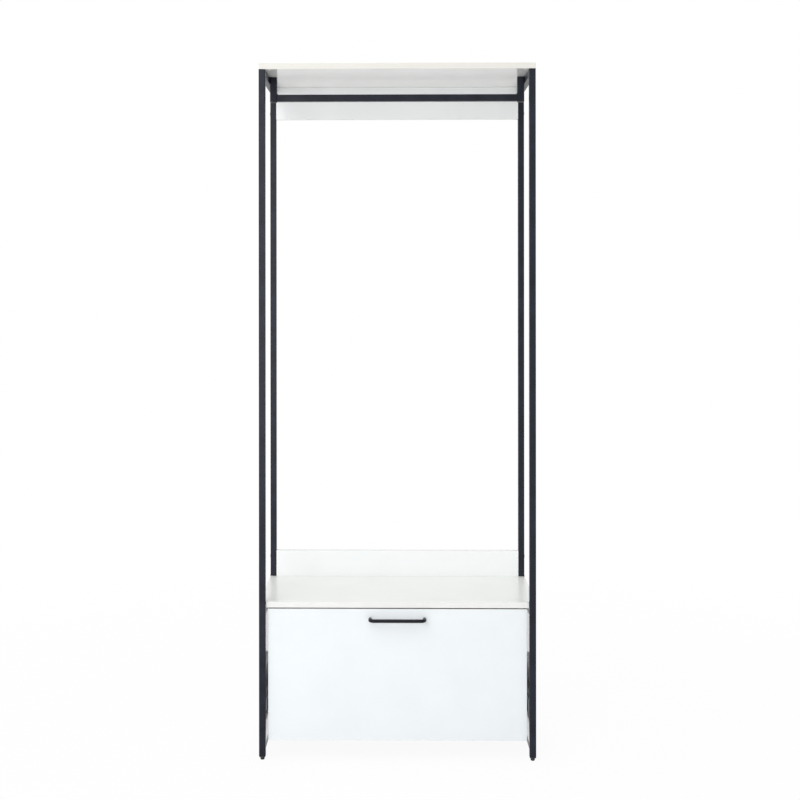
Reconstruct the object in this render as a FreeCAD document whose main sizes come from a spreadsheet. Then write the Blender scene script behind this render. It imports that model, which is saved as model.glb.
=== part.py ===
import FreeCAD, Part
import math
import os
import re
from types import SimpleNamespace

import Sketcher

# Open closet unit: two side frames of square steel tube carry a top board, a bench board, three back
# panels and a hanging rail, and the bay below the bench holds one deep drawer on ball bearing slides.
# Frame: +X to the right, the front faces -Y, +Z up. The origin lies on the floor, in the middle of the
# unit's box, which takes in the drawer's handle.

os.makedirs("parts", exist_ok=True)

# Driving dimensions, in millimetres
DRIVING = {
    # Outside of the whole frame
    "frame_width": 850.0,
    "frame_depth": 430.0,
    "frame_height": 2140.0,
    # Square steel tube of the side frames
    "tube": 20.0,
    "tube_wall": 1.2,
    "tube_corner": 2.0,
    # Coated particle board
    "board": 18.0,
    "bench_height": 485.0,
    "bench_setback": 8.5,
    "panel_height": 108.0,
    "lower_panel_rise": 85.5,
    "notch_gap": 0.5,
    # Side frames
    "bottom_rail_height": 31.5,
    # Hanging rail and its drops, of a slightly larger tube
    "rail_tube": 22.0,
    "rail_setback": 172.0,
    "hanger_room": 55.5,
    "cap_flange": 2.5,
    "cap_plug": 12.0,
    # Plastic inserts and levelling glides at the feet of the posts
    "glide_height": 8.5,
    "glide_gap": 0.3,
    "glide_radius": 6.5,
    "insert_flange": 3.5,
    "insert_plug": 20.0,
    "plug_gap": 0.1,
    "stud_radius": 3.0,
    "stud_length": 20.0,
    "stud_gap": 0.1,
    # Drawer front
    "drawer_recess": 2.0,
    "drawer_side_gap": 7.5,
    "drawer_top_gap": 3.5,
    "drawer_front_height": 404.0,
    # Drawer box behind the front
    "box_board": 12.0,
    "box_rear_gap": 30.5,
    "box_height": 168.0,
    "box_rise": 14.0,
    "bottom_sheet": 5.0,
    "bottom_rise": 10.0,
    "groove_depth": 6.0,
    "groove_gap": 0.1,
    "groove_end_gap": 0.5,
    # Bar handle, bent from round rod
    "handle_reach": 32.0,
    "handle_rod": 11.0,
    "handle_centres": 167.0,
    "handle_bend": 12.0,
    "handle_drop": 31.5,
    "screw_radius": 1.95,
    "screw_hole_radius": 2.25,
    "screw_bite": 10.0,
    "tapped_radius": 2.0,
    "tapped_depth": 12.0,
    "screw_head_radius": 4.0,
    "screw_head": 2.6,
    # Ball bearing slides
    "slide_end_gap": 30.5,
    "slide_height": 45.7,
    "slide_thickness": 12.7,
    "slide_start_gap": 1.0,
    "slide_rise": 90.0,
    "member_strip": 1.2,
    "middle_strip": 1.0,
    "middle_gap": 0.7,
    "member_gap": 0.45,
    "race_step": 3.1,
    "race_gap": 0.05,
    "lip": 0.4,
    "middle_bend": 1.0,
    "drawer_bend": 1.6,
    "ball_radius": 1.6,
    "cage_strip": 0.4,
    "cage_start": 100.0,
    "cage_tail": 0.9,
    "cage_bend": 0.6,
    "inner_cage_web": 3.8,
    "slot_length": 12.0,
    "slot_width": 4.6,
    "slot_margin": 30.0,
    # How far a cutting shape runs past the faces that it cuts
    "overrun": 1.0,
}

# Mounting slots in each cabinet and drawer member
SLOTS = 2

# Where the drawer member's race ends, in degrees round the ball
CRADLE_END = 210.0

# Places and sizes that follow from the driving dimensions
d = SimpleNamespace(**DRIVING)
d.handle_overhang = d.handle_reach - d.bench_setback - d.drawer_recess
d.front_y = -(d.frame_depth - d.handle_overhang) / 2
d.rear_y = d.front_y + d.frame_depth
d.half_width = d.frame_width / 2
d.inner_half = d.half_width - d.tube
d.post_x = d.half_width - d.tube / 2
d.front_post_y = d.front_y + d.tube / 2
d.rear_post_y = d.rear_y - d.tube / 2
d.side_start_y = d.front_y + d.tube
d.side_end_y = d.rear_y - d.tube
d.side_length = d.side_end_y - d.side_start_y
d.bench_y = d.front_y + d.bench_setback
d.drawer_y = d.bench_y + d.drawer_recess

d.top_z = d.frame_height - d.board
d.post_foot_z = d.glide_height + d.insert_flange
d.post_length = d.top_z - d.post_foot_z
d.top_rail_z = d.top_z - d.tube / 2
d.bench_z = d.bench_height - d.board
d.bench_rail_z = d.bench_z - d.tube / 2
d.bottom_rail_z = d.bottom_rail_height + d.tube / 2

d.corner_span = d.tube - 2 * d.tube_corner
d.bore_half = d.tube / 2 - d.tube_wall
d.plug_half = d.bore_half - d.plug_gap
d.insert_height = d.insert_flange + d.insert_plug
d.stud_hole_radius = d.stud_radius + d.stud_gap
d.glide_shoulder = d.glide_height - d.glide_gap
d.stud_top = d.glide_shoulder + d.stud_length

d.notch_x = d.inner_half - d.notch_gap
d.notch_y = d.side_start_y + d.notch_gap
d.panel_width = 2 * d.inner_half
d.upper_panel_z = d.top_z - d.panel_height
d.lower_panel_z = d.bench_height + d.lower_panel_rise - d.panel_height
d.bay_floor_z = d.bottom_rail_height + d.tube
d.bay_height = d.bench_z - d.tube - d.bay_floor_z
d.side_panel_x = d.inner_half + d.board / 2

d.rail_corner_span = d.rail_tube - 2 * d.tube_corner
d.rail_bore_half = d.rail_tube / 2 - d.tube_wall
d.rail_plug_half = d.rail_bore_half - d.plug_gap
d.drop_x = d.inner_half - d.rail_tube / 2
d.rail_y = d.front_y + d.rail_setback + d.rail_tube / 2
d.rail_z = d.top_z - d.hanger_room - d.rail_tube / 2
d.drop_foot_z = d.rail_z - d.rail_tube / 2
d.drop_length = d.top_z - d.drop_foot_z
d.rail_length = 2 * (d.drop_x - d.rail_tube / 2)
d.cap_z = d.drop_foot_z - d.cap_flange
d.cap_height = d.cap_flange + d.cap_plug

d.front_width = d.panel_width - 2 * d.drawer_side_gap
d.front_top_z = d.bench_z - d.drawer_top_gap
d.front_z = d.front_top_z - d.drawer_front_height
d.box_y = d.drawer_y + d.board
d.box_depth = d.side_end_y - d.box_rear_gap - d.box_y
d.box_z = d.front_z + d.box_rise
d.box_outer_half = d.inner_half - d.slide_thickness
d.box_side_x = d.box_outer_half - d.box_board / 2
d.box_inner_half = d.box_outer_half - d.box_board
d.box_inner_width = 2 * d.box_inner_half
d.groove_z = d.box_z + d.bottom_rise
d.groove_height = d.bottom_sheet + 2 * d.groove_gap
d.groove_width = d.box_inner_width + 2 * d.groove_depth
d.sheet_inlet = d.groove_depth - d.groove_end_gap
d.sheet_width = d.box_inner_width + 2 * d.sheet_inlet
d.sheet_y = d.box_y - d.sheet_inlet
d.sheet_depth = d.box_depth + d.sheet_inlet
d.sheet_z = d.groove_z + d.groove_gap
d.back_y = d.box_y + d.box_depth - d.box_board
d.back_z = d.sheet_z + d.bottom_sheet
d.back_height = d.box_z + d.box_height - d.back_z

d.handle_half = d.handle_centres / 2
d.handle_z = d.front_top_z - d.handle_drop
d.handle_axis = d.handle_reach - d.handle_rod / 2
d.rod_radius = d.handle_rod / 2
d.screw_length = d.board + d.screw_bite

d.slide_y = d.box_y + d.slide_start_gap
d.slide_length = d.side_end_y - d.slide_end_gap - d.slide_y
d.cage_length = d.slide_length - 2 * d.cage_start
d.slide_z = d.box_z + d.slide_rise


# The document, with every named size in a cell of its sheet
doc = FreeCAD.newDocument("ClosetUnit")
sheet = doc.addObject("Spreadsheet::Sheet", "Sizes")
for row, (alias, amount) in enumerate(vars(d).items(), start=1):
    sheet.set(f"A{row}", alias)
    sheet.set(f"B{row}", repr(amount))
    sheet.setAlias(f"B{row}", alias)
doc.recompute()

NODES = []


def formula(text):
    """Turn a sum of size names into an expression that reads the sheet."""
    return re.sub(r"[a-z_]+", lambda word: "Sizes." + word.group(), text)


def number(term):
    """Return the value of a size name, which may have a minus sign."""
    return -getattr(d, term[1:]) if term.startswith("-") else getattr(d, term)


def place(thing, x, y, z):
    """Bind an object's position to sums of size names."""
    for axis, text in (("x", x), ("y", y), ("z", z)):
        thing.setExpression("Placement.Base." + axis, formula(text))


def keep(thing, name):
    """Label a finished sub-part and put it on the list of nodes."""
    thing.Label = name
    NODES.append(thing)
    return thing


def block(name, length, width, height, x, y, z):
    """Make a box, centred on x, that starts at y and z."""
    box = doc.addObject("Part::Box", name)
    for side, text in (("Length", length), ("Width", width), ("Height", height)):
        box.setExpression(side, formula(text))
    place(box, f"{x} - ({length}) / 2", y, z)
    return box


def cut(name, base, tools):
    """Cut one or more shapes out of a base."""
    tool = tools[0]
    if len(tools) > 1:
        tool = doc.addObject("Part::MultiFuse", name + "_tools")
        tool.Shapes = tools
    result = doc.addObject("Part::Cut", name)
    result.Base = base
    result.Tool = tool
    return result


def sketch_on(body, role):
    """Add a sketch to a body, on the origin plane with this role."""
    plane = next(part for part in body.Origin.OriginFeatures if part.Role == role)
    sketch = body.newObject("Sketcher::SketchObject", body.Name + "_sketch")
    sketch.AttachmentSupport = (plane, [""])
    sketch.MapMode = "FlatFace"
    return sketch


def bind(sketch, constraint, text):
    """Add a constraint whose value is a sum of size names."""
    index = sketch.addConstraint(constraint)
    sketch.setExpression(f"Constraints[{index}]", formula(text))


def rounded_square(sketch, span, corner):
    """Draw a square with round corners about the sketch's origin; span joins the corners' centres."""
    half, radius = number(span) / 2, number(corner)
    reach = half + radius
    first = sketch.GeometryCount
    quarter = math.pi / 2
    turns = ((half, -half), (half, half), (-half, half), (-half, -half))
    normal = FreeCAD.Vector(0, 0, 1)
    for step, (x, y) in enumerate(turns):
        # each side runs up to the corner that ends it
        angle = (step - 1) * quarter
        start = (-half * math.cos(angle + quarter) + reach * math.cos(angle),
                 -half * math.sin(angle + quarter) + reach * math.sin(angle))
        end = (half * math.cos(angle + quarter) + reach * math.cos(angle),
               half * math.sin(angle + quarter) + reach * math.sin(angle))
        sketch.addGeometry(Part.LineSegment(FreeCAD.Vector(*start, 0), FreeCAD.Vector(*end, 0)))
        circle = Part.Circle(FreeCAD.Vector(x, y, 0), normal, radius)
        sketch.addGeometry(Part.ArcOfCircle(circle, angle, angle + quarter))
    lines = [first, first + 2, first + 4, first + 6]
    arcs = [first + 1, first + 3, first + 5, first + 7]
    for step in range(4):
        before = lines[step]
        after = lines[(step + 1) % 4]
        sketch.addConstraint(Sketcher.Constraint("Tangent", before, 2, arcs[step], 1))
        sketch.addConstraint(Sketcher.Constraint("Tangent", arcs[step], 2, after, 1))
        sketch.addConstraint(Sketcher.Constraint("Horizontal" if step % 2 == 0 else "Vertical", before))
    for arc in arcs[1:]:
        sketch.addConstraint(Sketcher.Constraint("Equal", arcs[0], arc))
    sketch.addConstraint(Sketcher.Constraint("Symmetric", arcs[1], 3, arcs[3], 3, -1, 1))
    bind(sketch, Sketcher.Constraint("DistanceX", arcs[3], 3, arcs[0], 3, 2 * half), span)
    bind(sketch, Sketcher.Constraint("DistanceY", arcs[0], 3, arcs[1], 3, 2 * half), span)
    bind(sketch, Sketcher.Constraint("Radius", arcs[0], radius), corner)


def polygon(sketch, points):
    """Draw a closed outline through points given as pairs of size names; "0" puts one on an axis."""
    spots = [FreeCAD.Vector(*(0.0 if term == "0" else number(term) for term in point), 0) for point in points]
    first = sketch.GeometryCount
    for start, end in zip(spots, spots[1:] + spots[:1]):
        sketch.addGeometry(Part.LineSegment(start, end))
    for step, point in enumerate(points):
        line = first + step
        following = first + (step + 1) % len(points)
        sketch.addConstraint(Sketcher.Constraint("Coincident", line, 2, following, 1))
        for kind, axis, term in (("DistanceX", -2, point[0]), ("DistanceY", -1, point[1])):
            if term == "0":
                sketch.addConstraint(Sketcher.Constraint("PointOnObject", line, 1, axis))
            else:
                bind(sketch, Sketcher.Constraint(kind, line, 1, number(term)), term)


def square(sketch, half):
    """Draw a square about the sketch's origin from the name of half its side."""
    polygon(sketch, (("-" + half, "-" + half), (half, "-" + half), (half, half), ("-" + half, half)))


def circle(sketch, x, y, radius):
    """Draw a circle; x and y are size names, or "0"."""
    spot = [0.0 if term == "0" else number(term) for term in (x, y)]
    index = sketch.addGeometry(Part.Circle(FreeCAD.Vector(*spot, 0), FreeCAD.Vector(0, 0, 1), number(radius)))
    for kind, axis, term in (("DistanceX", -2, x), ("DistanceY", -1, y)):
        if term == "0":
            sketch.addConstraint(Sketcher.Constraint("PointOnObject", index, 3, axis))
        else:
            bind(sketch, Sketcher.Constraint(kind, index, 3, number(term)), term)
    bind(sketch, Sketcher.Constraint("Radius", index, number(radius)), radius)


def pad(body, sketch, length, backwards=False):
    """Raise a sketch by a length; backwards turns it against the plane's normal."""
    feature = body.newObject("PartDesign::Pad", body.Name + "_pad")
    feature.Profile = sketch
    feature.setExpression("Length", formula(length))
    feature.Reversed = backwards
    sketch.Visibility = False
    return feature


# Sketch plane for a tube that runs along each axis, and whether its pad turns against the normal
TUBE_PLANES = {"x": ("YZ_Plane", False), "y": ("XZ_Plane", True), "z": ("XY_Plane", False)}


def tube(name, axis, length, x, y, z, span="corner_span", bore="bore_half"):
    """Make a square tube with round corners along an axis, from the middle of its first end."""
    role, backwards = TUBE_PLANES[axis]
    body = doc.addObject("PartDesign::Body", name)
    sketch = sketch_on(body, role)
    rounded_square(sketch, span, "tube_corner")
    square(sketch, bore)
    pad(body, sketch, length, backwards)
    place(body, x, y, z)
    return keep(body, name)


def plug(name, flange, height, hole, x, y, z, span="corner_span", half="plug_half"):
    """Make a plastic tube end: a square flange below a plug that fills the tube's bore."""
    body = doc.addObject("PartDesign::Body", name)
    base = sketch_on(body, "XY_Plane")
    rounded_square(base, span, "tube_corner")
    pad(body, base, flange)
    stem = sketch_on(body, "XY_Plane")
    square(stem, half)
    stem.setExpression("AttachmentOffset.Base.z", formula(flange))
    pad(body, stem, f"{height} - {flange}")
    if hole:
        bore = sketch_on(body, "XY_Plane")
        circle(bore, "0", "0", hole)
        doc.recompute()
        solid = body.Shape.Volume
        pocket = body.newObject("PartDesign::Pocket", name + "_bore")
        pocket.Profile = bore
        pocket.Type = "ThroughAll"
        pocket.Reversed = True
        bore.Visibility = False
        doc.recompute()
        assert body.Shape.Volume < solid, name
    place(body, x, y, z)
    return keep(body, name)


# Side frames
def side_frame(side, sign):
    """Make one welded side frame: two posts and three rails between them."""
    x = f"{sign} * post_x"
    tube(side + "_front_post", "z", "post_length", x, "front_post_y", "post_foot_z")
    tube(side + "_rear_post", "z", "post_length", x, "rear_post_y", "post_foot_z")
    tube(side + "_top_rail", "y", "side_length", x, "side_start_y", "top_rail_z")
    tube(side + "_bench_rail", "y", "side_length", x, "side_start_y", "bench_rail_z")
    tube(side + "_bottom_rail", "y", "side_length", x, "side_start_y", "bottom_rail_z")


# Feet
def glide(name, x, y):
    """Make a levelling glide: a round foot turned in one piece with its stud."""
    body = doc.addObject("PartDesign::Body", name)
    sketch = sketch_on(body, "XZ_Plane")
    polygon(sketch, (
        ("0", "0"),
        ("glide_radius", "0"),
        ("glide_radius", "glide_shoulder"),
        ("stud_radius", "glide_shoulder"),
        ("stud_radius", "stud_top"),
        ("0", "stud_top"),
    ))
    turned = body.newObject("PartDesign::Revolution", name + "_turned")
    turned.Profile = sketch
    turned.ReferenceAxis = (sketch, ["V_Axis"])
    turned.Angle = 360.0
    sketch.Visibility = False
    place(body, x, y, "0")
    return keep(body, name)


# Boards and panels
def bench_board():
    """Make the bench board, notched at its front corners for the posts."""
    body = doc.addObject("PartDesign::Body", "bench_board")
    sketch = sketch_on(body, "XY_Plane")
    polygon(sketch, (
        ("-notch_x", "bench_y"),
        ("notch_x", "bench_y"),
        ("notch_x", "notch_y"),
        ("half_width", "notch_y"),
        ("half_width", "side_end_y"),
        ("-half_width", "side_end_y"),
        ("-half_width", "notch_y"),
        ("-notch_x", "notch_y"),
    ))
    pad(body, sketch, "board")
    body.setExpression("Placement.Base.z", formula("bench_z"))
    return keep(body, "bench_board")


def boards():
    """Make the flat boards of the frame."""
    keep(block("top_board", "frame_width", "frame_depth", "board", "0", "front_y", "top_z"), "top_board")
    bench_board()
    for name, z in (("upper_back_panel", "upper_panel_z"), ("lower_back_panel", "lower_panel_z"),
                    ("bottom_back_panel", "bay_floor_z")):
        keep(block(name, "panel_width", "board", "panel_height", "0", "side_end_y", z), name)
    for side, sign in (("left", "-1"), ("right", "1")):
        name = side + "_side_panel"
        keep(block(name, "board", "side_length", "bay_height", f"{sign} * side_panel_x", "side_start_y",
                   "bay_floor_z"), name)


# Hanging rail
def hanging_rail():
    """Make the square rail for hangers, the two drops that carry it and the drops' caps."""
    section = ("rail_corner_span", "rail_bore_half")
    tube("hanging_rail", "x", "rail_length", "-rail_length / 2", "rail_y", "rail_z", *section)
    for side, sign in (("left", "-1"), ("right", "1")):
        x = f"{sign} * drop_x"
        tube(side + "_rail_drop", "z", "drop_length", x, "rail_y", "drop_foot_z", *section)
        plug(side + "_drop_cap", "cap_flange", "cap_height", None, x, "rail_y", "cap_z",
             "rail_corner_span", "rail_plug_half")


# Drawer box and front
def drawer_front():
    """Make the drawer front, with the groove for the bottom and the handle's two screw holes."""
    panel = block("drawer_front_panel", "front_width", "board", "drawer_front_height", "0", "drawer_y",
                  "front_z")
    groove = block("drawer_front_groove", "groove_width", "groove_depth + overrun", "groove_height", "0",
                   "box_y - groove_depth", "groove_z")
    tools = [groove]
    for side, sign in (("left", "-1"), ("right", "1")):
        hole = doc.addObject("Part::Cylinder", side + "_screw_hole")
        hole.setExpression("Radius", formula("screw_hole_radius"))
        hole.setExpression("Height", formula("board + 2 * overrun"))
        hole.Placement.Rotation = FreeCAD.Rotation(FreeCAD.Vector(1, 0, 0), -90)
        place(hole, f"{sign} * handle_half", "drawer_y - overrun", "handle_z")
        tools.append(hole)
    keep(cut("drawer_front", panel, tools), "drawer_front")


def drawer_box():
    """Make the box behind the front: grooved sides, a back that stands on the bottom, and the bottom."""
    for side, sign in (("left", "-1"), ("right", "1")):
        name = f"drawer_{side}_side"
        panel = block(name + "_panel", "box_board", "box_depth", "box_height", f"{sign} * box_side_x",
                      "box_y", "box_z")
        groove = block(name + "_groove", "2 * groove_depth", "box_depth + 2 * overrun", "groove_height",
                       f"{sign} * box_inner_half", "box_y - overrun", "groove_z")
        keep(cut(name, panel, [groove]), name)
    keep(block("drawer_back", "box_inner_width", "box_board", "back_height", "0", "back_y", "back_z"),
         "drawer_back")
    keep(block("drawer_bottom", "sheet_width", "sheet_depth", "bottom_sheet", "0", "sheet_y", "sheet_z"),
         "drawer_bottom")


def handle():
    """Make the bar handle: round rod bent back at both ends, with a tapped hole in each end."""
    body = doc.addObject("PartDesign::Body", "handle")
    path = sketch_on(body, "XY_Plane")
    inner = d.handle_half - d.handle_bend
    out = -d.handle_axis
    knee = out + d.handle_bend
    up = FreeCAD.Vector(0, 0, 1)
    path.addGeometry(Part.LineSegment(FreeCAD.Vector(-d.handle_half, 0, 0),
                                      FreeCAD.Vector(-d.handle_half, knee, 0)))
    path.addGeometry(Part.ArcOfCircle(Part.Circle(FreeCAD.Vector(-inner, knee, 0), up, d.handle_bend),
                                      math.pi, 1.5 * math.pi))
    path.addGeometry(Part.LineSegment(FreeCAD.Vector(-inner, out, 0), FreeCAD.Vector(inner, out, 0)))
    path.addGeometry(Part.ArcOfCircle(Part.Circle(FreeCAD.Vector(inner, knee, 0), up, d.handle_bend),
                                      1.5 * math.pi, 2 * math.pi))
    path.addGeometry(Part.LineSegment(FreeCAD.Vector(d.handle_half, knee, 0),
                                      FreeCAD.Vector(d.handle_half, 0, 0)))
    for before, end, after, start in ((0, 2, 1, 1), (1, 2, 2, 1), (2, 2, 3, 1), (3, 2, 4, 1)):
        path.addConstraint(Sketcher.Constraint("Tangent", before, end, after, start))
    path.addConstraint(Sketcher.Constraint("Vertical", 0))
    path.addConstraint(Sketcher.Constraint("Equal", 1, 3))
    path.addConstraint(Sketcher.Constraint("Symmetric", 0, 1, 4, 2, -1, 1))
    bind(path, Sketcher.Constraint("DistanceX", 0, 1, 4, 2, 2 * d.handle_half), "handle_centres")
    bind(path, Sketcher.Constraint("Radius", 1, d.handle_bend), "handle_bend")
    bind(path, Sketcher.Constraint("DistanceY", 2, 1, 0, 1, d.handle_axis), "handle_axis")
    section = sketch_on(body, "XZ_Plane")
    circle(section, "-handle_half", "0", "rod_radius")
    rod = body.newObject("PartDesign::AdditivePipe", "handle_rod_pipe")
    rod.Profile = section
    rod.Spine = path
    path.Visibility = section.Visibility = False
    doc.recompute()
    solid = body.Shape.Volume
    taps = sketch_on(body, "XZ_Plane")
    circle(taps, "-handle_half", "0", "tapped_radius")
    circle(taps, "handle_half", "0", "tapped_radius")
    pocket = body.newObject("PartDesign::Pocket", "handle_taps")
    pocket.Profile = taps
    pocket.setExpression("Length", formula("tapped_depth"))
    pocket.Reversed = True
    doc.recompute()
    assert body.Shape.Volume < solid, "handle"
    place(body, "0", "drawer_y", "handle_z")
    keep(body, "handle")


def handle_screws():
    """Make the two pan head screws that reach through the front into the handle."""
    screws = []
    for side, sign in (("left", "-1"), ("right", "1")):
        body = doc.addObject("PartDesign::Body", side + "_handle_screw")
        sketch = sketch_on(body, "XY_Plane")
        polygon(sketch, (
            ("0", "-screw_length"),
            ("screw_radius", "-screw_length"),
            ("screw_radius", "0"),
            ("screw_head_radius", "0"),
            ("screw_head_radius", "screw_head"),
            ("0", "screw_head"),
        ))
        turned = body.newObject("PartDesign::Revolution", side + "_screw_turned")
        turned.Profile = sketch
        turned.ReferenceAxis = (sketch, ["V_Axis"])
        turned.Angle = 360.0
        sketch.Visibility = False
        place(body, f"{sign} * handle_half", "box_y", "handle_z")
        screws.append(body)
    group = doc.addObject("Part::Compound", "handle_screws")
    group.Links = screws
    keep(group, "handle_screws")


# Ball bearing slides. A section is drawn in u, away from the side panel, and v, up from the slide's middle.
def mirrored(path):
    """Return the lower half of a section, from its lip back to the web."""
    lower = []
    for kind, *shape in reversed(path):
        if kind == "line":
            (u0, v0), (u1, v1) = shape
            lower.append(("line", (u1, -v1), (u0, -v0)))
        else:
            (u, v), radius, start, end = shape
            lower.append(("arc", (u, -v), radius, -end, -start))
    return lower


def strip_section(web_u, web_v, upper, strip):
    """Return the closed outline of a bent strip: a straight web with the same bends above and below."""
    web = ("line", (web_u, -web_v), (web_u, web_v))
    path = mirrored(upper) + [web] + upper
    half = strip / 2
    sides = {1: [], -1: []}
    for kind, *shape in path:
        for side, edges in sides.items():
            if kind == "line":
                (u0, v0), (u1, v1) = shape
                run = math.hypot(u1 - u0, v1 - v0)
                du, dv = -side * half * (v1 - v0) / run, side * half * (u1 - u0) / run
                edges.append(("line", (u0 + du, v0 + dv), (u1 + du, v1 + dv)))
            else:
                centre, radius, start, end = shape
                inward = side if end > start else -side
                edges.append(("arc", centre, radius - inward * half, start, end))
    first, last = end_points(sides[1][0])[0], end_points(sides[1][-1])[1]
    other_first, other_last = end_points(sides[-1][0])[0], end_points(sides[-1][-1])[1]
    return sides[1] + sides[-1] + [("line", first, other_first), ("line", last, other_last)]


def end_points(edge):
    """Return the first and last point of a line or an arc."""
    kind, *shape = edge
    if kind == "line":
        return shape
    (u, v), radius, start, end = shape
    return [(u + radius * math.cos(math.radians(angle)), v + radius * math.sin(math.radians(angle)))
            for angle in (start, end)]


def slide_strip(body, section, sign, length):
    """Pad a section along the slide; sign mirrors it for the right-hand slide."""
    sketch = sketch_on(body, "XZ_Plane")
    up = FreeCAD.Vector(0, 0, 1)
    for kind, *shape in section:
        if kind == "line":
            (u0, v0), (u1, v1) = shape
            sketch.addGeometry(Part.LineSegment(FreeCAD.Vector(sign * u0, v0, 0),
                                                FreeCAD.Vector(sign * u1, v1, 0)))
        else:
            (u, v), radius, start, end = shape
            low, high = sorted((math.radians(start), math.radians(end)))
            if sign < 0:
                low, high = math.pi - high, math.pi - low
            round_edge = Part.Circle(FreeCAD.Vector(sign * u, v, 0), up, radius)
            sketch.addGeometry(Part.ArcOfCircle(round_edge, low, high))
    return pad(body, sketch, length, True)


def outer_ball():
    """Return the place of the outer balls: under the hook of the cabinet member."""
    reach = d.race_gap + d.ball_radius
    return d.member_strip + reach, d.slide_height / 2 - d.member_strip - reach


def inner_ball():
    """Return the place of the inner balls: under the hook of the middle member."""
    reach = d.race_gap + d.ball_radius
    u = d.slide_thickness - d.member_strip - d.member_gap - d.middle_strip - reach
    return u, outer_ball()[1] - d.race_step


def cabinet_section():
    """Return the section of the member on the side panel: a web with a half-round hook at each edge."""
    u, v = outer_ball()
    radius = d.ball_radius + d.race_gap + d.member_strip / 2
    lip_u = u + radius
    upper = [("arc", (u, v), radius, 180.0, 0.0), ("line", (lip_u, v), (lip_u, v - d.lip))]
    return strip_section(d.member_strip / 2, v, upper, d.member_strip)


def middle_section():
    """Return the section of the middle member, which runs under the outer balls and over the inner ones."""
    (au, av), (bu, bv) = outer_ball(), inner_ball()
    radius = d.ball_radius + d.race_gap + d.middle_strip / 2
    apart = math.hypot(bu - au, bv - av)
    slope = math.atan2(bv - av, bu - au) + math.asin(2 * radius / apart)
    web_u = d.member_strip + d.middle_gap + d.middle_strip / 2
    turn = math.degrees(slope) + 90.0
    across, rise = math.sin(slope), math.cos(slope)
    # the ramp touches both ball circles; the web's bend ends on it
    crest = (bu - radius * across, bv + radius * rise)
    bend_end_u = web_u + d.middle_bend * (1 - across)
    bend_end_v = crest[1] - (crest[0] - bend_end_u) * math.tan(slope)
    bend_v = bend_end_v - d.middle_bend * rise
    lip_u = bu + radius
    upper = [
        ("arc", (web_u + d.middle_bend, bend_v), d.middle_bend, 180.0, turn),
        ("line", (bend_end_u, bend_end_v), crest),
        ("arc", (bu, bv), radius, turn, 0.0),
        ("line", (lip_u, bv), (lip_u, bv - d.lip)),
    ]
    return strip_section(web_u, bend_v, upper, d.middle_strip)


def drawer_section():
    """Return the section of the member on the drawer, which cradles the inner balls from below."""
    u, v = inner_ball()
    radius = d.ball_radius + d.race_gap + d.member_strip / 2
    web_u = d.slide_thickness - d.member_strip / 2
    floor_v = v - radius
    bend = (web_u - d.drawer_bend, floor_v - d.drawer_bend)
    upper = [
        ("arc", bend, d.drawer_bend, 0.0, 90.0),
        ("line", (bend[0], floor_v), (u, floor_v)),
        ("arc", (u, v), radius, 270.0, CRADLE_END),
    ]
    return strip_section(web_u, bend[1], upper, d.member_strip)


def outer_cage_section():
    """Return the section of the cage between the cabinet and the middle member."""
    u, v = outer_ball()
    web_u = d.member_strip + d.middle_gap / 2
    slope = math.pi / 4
    lean = (u - web_u) * math.tan(slope)
    tail = (u + d.cage_tail * math.cos(slope), v + d.cage_tail * math.sin(slope))
    bend = d.cage_bend
    run = bend * math.tan((math.pi / 2 - slope) / 2)
    knee_v = v - lean
    centre = (web_u + bend, knee_v - run)
    turn = 90.0 + math.degrees(slope)
    start = (web_u + run * math.cos(slope), knee_v + run * math.sin(slope))
    upper = [("arc", centre, bend, 180.0, turn), ("line", start, tail)]
    return strip_section(web_u, centre[1], upper, d.cage_strip)


def inner_cage_section():
    """Return the section of the cage between the middle and the drawer member."""
    u, v = inner_ball()
    web_u = d.inner_cage_web
    centre = (web_u + d.cage_bend, v - d.cage_bend)
    upper = [("arc", centre, d.cage_bend, 180.0, 90.0),
             ("line", (centre[0], v), (u + d.cage_tail, v))]
    return strip_section(web_u, centre[1], upper, d.cage_strip)


def slide_member(name, section, sign, slot_count):
    """Make one member of a slide, with a row of mounting slots in its web."""
    body = doc.addObject("PartDesign::Body", name)
    slide_strip(body, section, sign, "slide_length")
    if slot_count:
        sketch = sketch_on(body, "YZ_Plane")
        step = (d.slide_length - 2 * d.slot_margin) / (slot_count - 1)
        half_run, radius = (d.slot_length - d.slot_width) / 2, d.slot_width / 2
        up = FreeCAD.Vector(0, 0, 1)
        for index in range(slot_count):
            y = d.slot_margin + index * step
            for side in (-1, 1):
                sketch.addGeometry(Part.LineSegment(FreeCAD.Vector(y - half_run, side * radius, 0),
                                                    FreeCAD.Vector(y + half_run, side * radius, 0)))
                end = Part.Circle(FreeCAD.Vector(y + side * half_run, 0, 0), up, radius)
                turn = -side * math.pi / 2
                sketch.addGeometry(Part.ArcOfCircle(end, turn, turn + math.pi))
        doc.recompute()
        solid = body.Shape.Volume
        pocket = body.newObject("PartDesign::Pocket", name + "_slots")
        pocket.Profile = sketch
        pocket.Type = "ThroughAll"
        pocket.Reversed = sign > 0
        sketch.Visibility = False
        doc.recompute()
        assert body.Shape.Volume < solid, name
    place(body, f"{-sign} * inner_half", "slide_y", "slide_z")
    return keep(body, name)


def ball_cage(name, section, sign):
    """Make a cage, the bent strip that keeps the balls apart."""
    body = doc.addObject("PartDesign::Body", name)
    slide_strip(body, section, sign, "cage_length")
    place(body, f"{-sign} * inner_half", "slide_y + cage_start", "slide_z")
    return keep(body, name)


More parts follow.
